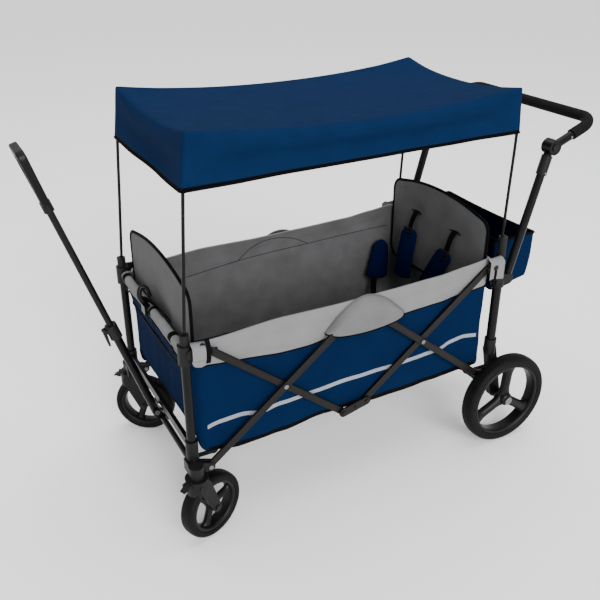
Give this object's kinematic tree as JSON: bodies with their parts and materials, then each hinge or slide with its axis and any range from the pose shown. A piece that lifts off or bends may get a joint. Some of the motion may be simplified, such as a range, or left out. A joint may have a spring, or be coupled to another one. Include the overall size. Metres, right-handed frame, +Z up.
{
  "type": "folding wagon",
  "caption": "Folding push and pull wagon with fabric basket, sun canopy, swivelling front wheels, large rear wheels, push bar and telescopic pull handle.",
  "frame": {"origin": "on the ground, midway between the crossed side bars' front and rear feet, on the wagon's centre plane", "axes": "+X forward towards the pull handle, +Y left, +Z up"},
  "size_m": [1.6658, 0.722, 1.184],
  "materials": {
    "dark_frame_paint": "satin",
    "bar_paint": "satin",
    "steel": "brushed",
    "black_moulding": "matte",
    "rim_plastic": "matte",
    "tyre_rubber": "matte",
    "handle_tube": "satin",
    "grip_foam": "matte",
    "blue_fabric": "woven",
    "grey_fabric": "woven",
    "pad_blue": "woven",
    "floor_mat": "woven"
  },
  "bodies": {
    "front_base": {"front_posts": "dark_frame_paint", "front_feet": "black_moulding", "front_base_pins": "steel", "front_cross_tubes": "dark_frame_paint"},
    "front_rising_bars": {"front_rising_bars": "bar_paint", "front_cross_rivets": "steel"},
    "front_falling_bars": {"front_falling_bars": "bar_paint"},
    "upper_hubs": {"upper_hubs": "bar_paint"},
    "lower_hubs": {"lower_hubs": "bar_paint", "centre_cross_tube": "dark_frame_paint", "centre_floor_mat": "floor_mat"},
    "rear_falling_bars": {"rear_falling_bars": "bar_paint", "rear_cross_rivets": "steel"},
    "rear_rising_bars": {"rear_rising_bars": "bar_paint"},
    "rear_base": {"rear_posts": "dark_frame_paint", "rear_feet": "black_moulding", "rear_axle_and_pins": "steel", "rear_cross_tubes": "dark_frame_paint"},
    "brake_pedal": {"brake_pedal": "black_moulding"},
    "front_floor": {"front_floor_frame": "dark_frame_paint", "front_floor_mat": "floor_mat"},
    "rear_floor": {"rear_floor_frame": "dark_frame_paint", "rear_floor_mat": "floor_mat"},
    "front_top": {"front_top_sleeves": "black_moulding", "front_top_pins": "steel", "front_canopy_bow": "handle_tube", "front_top_rail": "dark_frame_paint", "front_backrest": "grey_fabric", "basket_walls": "blue_fabric", "canopy": "blue_fabric"},
    "rear_top": {"rear_collars": "black_moulding", "rear_top_pins": "steel", "push_lower_tubes": "handle_tube", "push_hinge_sleeves": "black_moulding", "rear_canopy_bow": "handle_tube", "rear_top_rail": "dark_frame_paint", "rear_backrest": "grey_fabric", "rear_bag": "blue_fabric", "harness_pads": "pad_blue"},
    "push_handle": {"push_handle_bar": "handle_tube", "push_handle_grip": "grip_foam"},
    "push_button_left": {"push_button_left": "black_moulding"},
    "push_button_right": {"push_button_right": "black_moulding"},
    "pull_handle": {"pull_outer_tube": "handle_tube", "pull_collar": "black_moulding"},
    "pull_lever": {"pull_lever": "black_moulding"},
    "pull_slide": {"pull_inner_tube": "handle_tube", "pull_grip": "black_moulding"},
    "caster_left": {"caster_fork_left": "black_moulding"},
    "front_wheel_left": {"front_rim_left": "rim_plastic", "front_tyre_left": "tyre_rubber"},
    "caster_lock_left": {"caster_lock_left": "black_moulding"},
    "rear_wheel_left": {"rear_tyre_left": "tyre_rubber", "rear_rim_left": "rim_plastic"},
    "caster_right": {"caster_fork_right": "black_moulding"},
    "front_wheel_right": {"front_rim_right": "rim_plastic", "front_tyre_right": "tyre_rubber"},
    "caster_lock_right": {"caster_lock_right": "black_moulding"},
    "rear_wheel_right": {"rear_tyre_right": "tyre_rubber", "rear_rim_right": "rim_plastic"}
  },
  "joints": [
    {"name": "fold", "type": "hinge", "parent": "front_base", "child": "front_rising_bars", "pos_m": [0.475, 0, 0.235], "axis": [0, 1, 0], "range_deg": [0, 43], "deforming": ["basket_walls", "canopy"]},
    {"name": "front_cross_pivot", "type": "hinge", "parent": "front_rising_bars", "child": "front_falling_bars", "pos_m": [0.235, 0, 0.4259], "axis": [0, 1, 0], "range_deg": [-86, 0]},
    {"name": "front_upper_hub_pivot", "type": "hinge", "parent": "front_rising_bars", "child": "upper_hubs", "pos_m": [0.04, 0, 0.58101], "axis": [0, 1, 0], "range_deg": [-43, 0]},
    {"name": "rear_upper_hub_pivot", "type": "hinge", "parent": "upper_hubs", "child": "rear_falling_bars", "pos_m": [-0.04, 0, 0.60101], "axis": [0, 1, 0], "range_deg": [-43, 0]},
    {"name": "rear_cross_pivot", "type": "hinge", "parent": "rear_falling_bars", "child": "rear_rising_bars", "pos_m": [-0.235, 0, 0.4459], "axis": [0, 1, 0], "range_deg": [0, 86]},
    {"name": "front_lower_hub_pivot", "type": "hinge", "parent": "front_falling_bars", "child": "lower_hubs", "pos_m": [0.04, 0, 0.2708], "axis": [0, 1, 0], "range_deg": [0, 43]},
    {"name": "rear_foot_pivot", "type": "hinge", "parent": "rear_falling_bars", "child": "rear_base", "pos_m": [-0.475, 0, 0.255], "axis": [0, 1, 0], "range_deg": [0, 43]},
    {"name": "front_top_pivot", "type": "hinge", "parent": "front_falling_bars", "child": "front_top", "pos_m": [0.475, 0, 0.61681], "axis": [0, 1, 0], "range_deg": [0, 43]},
    {"name": "rear_top_pivot", "type": "hinge", "parent": "rear_rising_bars", "child": "rear_top", "pos_m": [-0.475, 0, 0.63681], "axis": [0, 1, 0], "range_deg": [-43, 0]},
    {"name": "front_floor_hinge", "type": "hinge", "parent": "front_base", "child": "front_floor", "pos_m": [0.45, 0, 0.262], "axis": [0, 1, 0], "range_deg": [0, 86]},
    {"name": "rear_floor_hinge", "type": "hinge", "parent": "rear_base", "child": "rear_floor", "pos_m": [-0.45, 0, 0.262], "axis": [0, 1, 0], "range_deg": [-86, 0]},
    {"name": "caster_swivel_left", "type": "hinge", "parent": "front_base", "child": "caster_left", "pos_m": [0.522, 0.314, 0.235], "axis": [0, 0, 1], "continuous": true},
    {"name": "front_wheel_spin_left", "type": "hinge", "parent": "caster_left", "child": "front_wheel_left", "pos_m": [0.48028, 0.29714, 0.1016], "axis": [-0.3746, 0.9272, 0], "continuous": true},
    {"name": "caster_lock_hinge_left", "type": "hinge", "parent": "caster_left", "child": "caster_lock_left", "pos_m": [0.55816, 0.32861, 0.212], "axis": [-0.3746, 0.9272, 0], "range_deg": [0, 20]},
    {"name": "rear_wheel_spin_left", "type": "hinge", "parent": "rear_base", "child": "rear_wheel_left", "pos_m": [-0.565, 0.33, 0.159], "axis": [0, 1, 0], "continuous": true},
    {"name": "push_button_slide_left", "type": "slide", "parent": "push_handle", "child": "push_button_left", "axis": [0, -1, 0], "range_m": [0, 0.003], "stiffness_N_per_m": 400, "springref_m": -0.002},
    {"name": "caster_swivel_right", "type": "hinge", "parent": "front_base", "child": "caster_right", "pos_m": [0.522, -0.314, 0.235], "axis": [0, 0, 1], "continuous": true},
    {"name": "front_wheel_spin_right", "type": "hinge", "parent": "caster_right", "child": "front_wheel_right", "pos_m": [0.48514, -0.28819, 0.1016], "axis": [0.5736, 0.8192, 0], "continuous": true},
    {"name": "caster_lock_hinge_right", "type": "hinge", "parent": "caster_right", "child": "caster_lock_right", "pos_m": [0.55395, -0.33637, 0.212], "axis": [0.5736, 0.8192, 0], "range_deg": [0, 20]},
    {"name": "rear_wheel_spin_right", "type": "hinge", "parent": "rear_base", "child": "rear_wheel_right", "pos_m": [-0.565, -0.33, 0.159], "axis": [0, 1, 0], "continuous": true},
    {"name": "push_button_slide_right", "type": "slide", "parent": "push_handle", "child": "push_button_right", "axis": [0, 1, 0], "range_m": [0, 0.003], "stiffness_N_per_m": 400, "springref_m": -0.002},
    {"name": "brake_pedal_hinge", "type": "hinge", "parent": "rear_base", "child": "brake_pedal", "pos_m": [-0.565, 0, 0.159], "axis": [0, 1, 0], "range_deg": [-20, 0]},
    {"name": "push_handle_hinge", "type": "hinge", "parent": "rear_top", "child": "push_handle", "pos_m": [-0.668, 0, 0.994], "axis": [0, 1, 0], "range_deg": [-60, 45]},
    {"name": "pull_handle_hinge", "type": "hinge", "parent": "front_base", "child": "pull_handle", "pos_m": [0.534, 0, 0.262], "axis": [0, 1, 0], "range_deg": [-10, 70]},
    {"name": "pull_tube_slide", "type": "slide", "parent": "pull_handle", "child": "pull_slide", "axis": [0.309, 0, 0.9511], "range_m": [-0.275, 0]},
    {"name": "pull_lever_hinge", "type": "hinge", "parent": "pull_handle", "child": "pull_lever", "pos_m": [0.65709, 0, 0.56478], "axis": [0, 1, 0], "range_deg": [-70, 0]}
  ],
  "couplings": [
    {"joint": "front_cross_pivot", "follows": "fold", "ratio": -2},
    {"joint": "front_upper_hub_pivot", "follows": "fold", "ratio": -1},
    {"joint": "rear_upper_hub_pivot", "follows": "fold", "ratio": -1},
    {"joint": "rear_cross_pivot", "follows": "fold", "ratio": 2},
    {"joint": "front_lower_hub_pivot", "follows": "fold", "ratio": 1},
    {"joint": "rear_foot_pivot", "follows": "fold", "ratio": 1},
    {"joint": "front_top_pivot", "follows": "fold", "ratio": 1},
    {"joint": "rear_top_pivot", "follows": "fold", "ratio": -1},
    {"joint": "front_floor_hinge", "follows": "fold", "ratio": 2},
    {"joint": "rear_floor_hinge", "follows": "fold", "ratio": -2}
  ]
}
